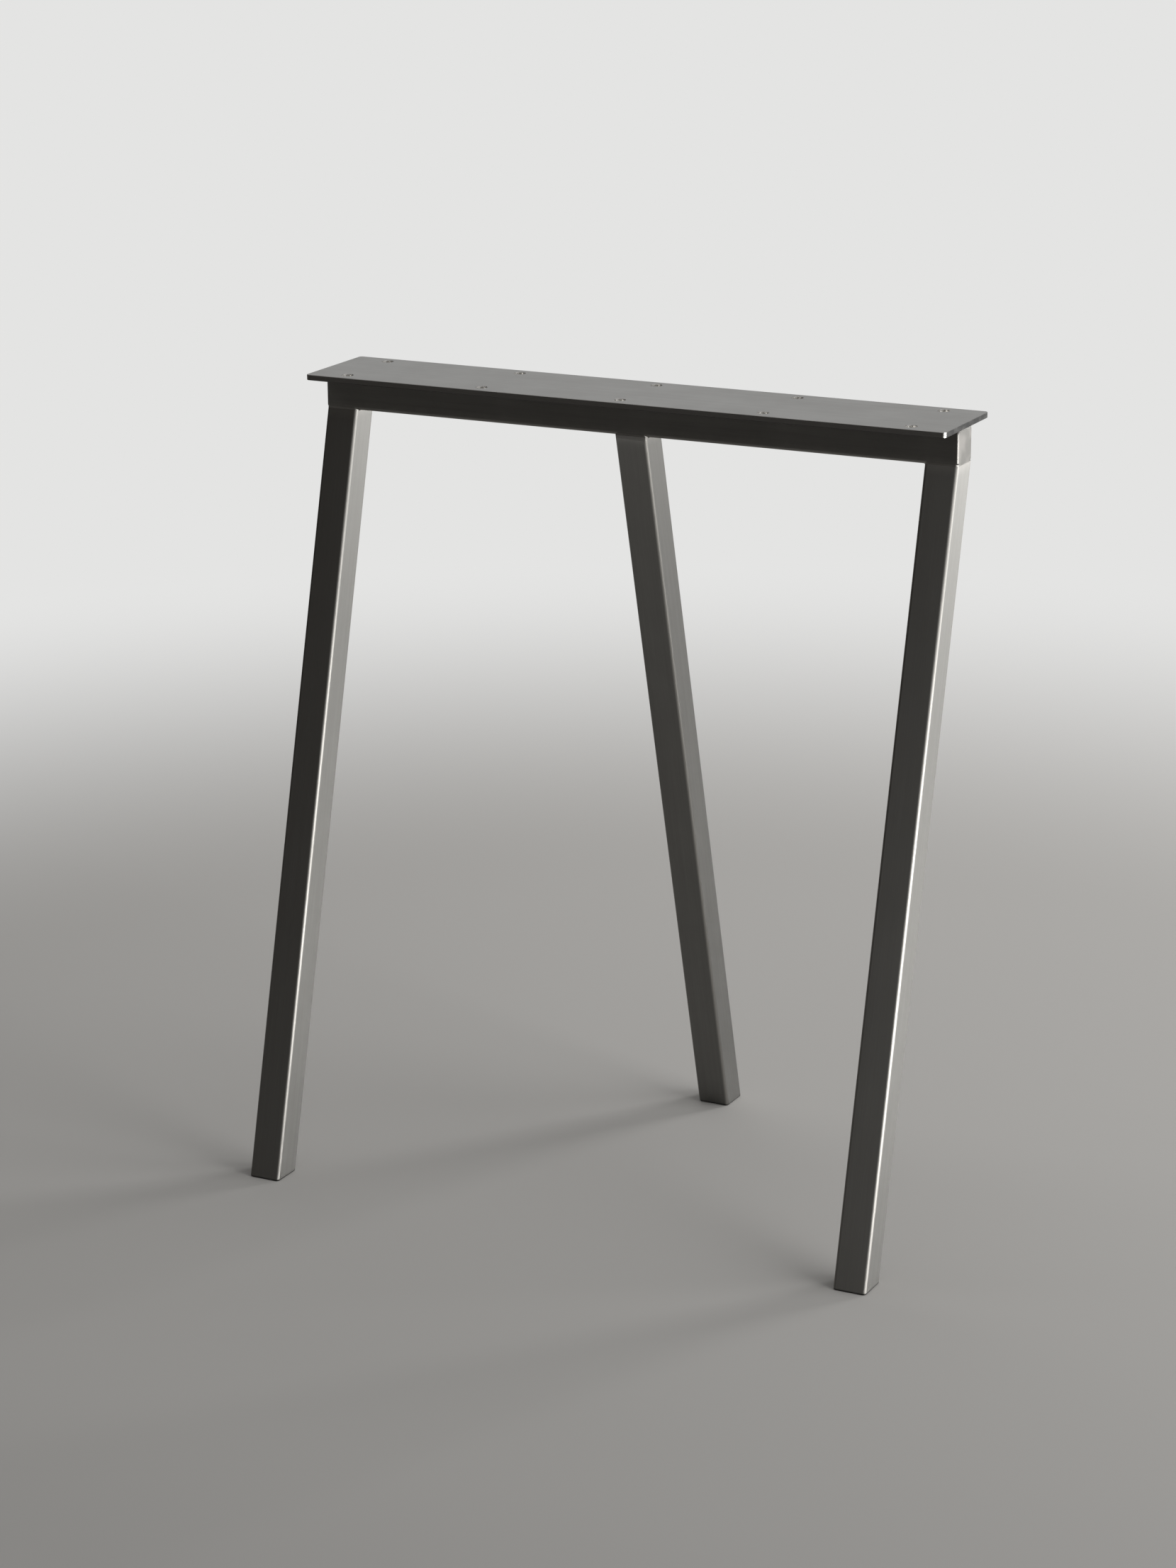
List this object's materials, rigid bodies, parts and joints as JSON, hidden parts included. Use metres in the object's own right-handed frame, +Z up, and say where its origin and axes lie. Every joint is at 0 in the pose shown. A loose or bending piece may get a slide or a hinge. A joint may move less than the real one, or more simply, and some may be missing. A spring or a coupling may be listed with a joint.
{
  "type": "table leg",
  "caption": "Welded square-tube trestle leg with raking legs and a flat drilled top plate that bolts under a table top or bench.",
  "frame": {"origin": "on the floor, under the middle of the top plate", "axes": "+Z up, X along the top plate, -Y towards the side where the two end legs stand"},
  "size_m": [0.6, 0.3722, 0.703],
  "materials": {
    "plate_steel": "satin flat bar with fine grain",
    "tube_steel": "brushed along the tube, clear coated",
    "cap_steel": "ground flush",
    "weld_steel": "weld bead, ground where it shows"
  },
  "bodies": {
    "root": {"top_plate": "plate_steel", "cross_beam": "tube_steel", "beam_end_cap_left": "cap_steel", "beam_end_cap_right": "cap_steel", "front_left_leg": "tube_steel", "front_left_foot_cap": "cap_steel", "front_right_leg": "tube_steel", "front_right_foot_cap": "cap_steel", "rear_leg": "tube_steel", "rear_foot_cap": "cap_steel", "front_left_leg_weld": "weld_steel", "front_right_leg_weld": "weld_steel", "rear_leg_weld": "weld_steel", "front_plate_weld_1": "weld_steel", "front_plate_weld_2": "weld_steel", "front_plate_weld_3": "weld_steel", "front_plate_weld_4": "weld_steel", "back_plate_weld_1": "weld_steel", "back_plate_weld_2": "weld_steel", "back_plate_weld_3": "weld_steel", "back_plate_weld_4": "weld_steel"}
  },
  "joints": []
}
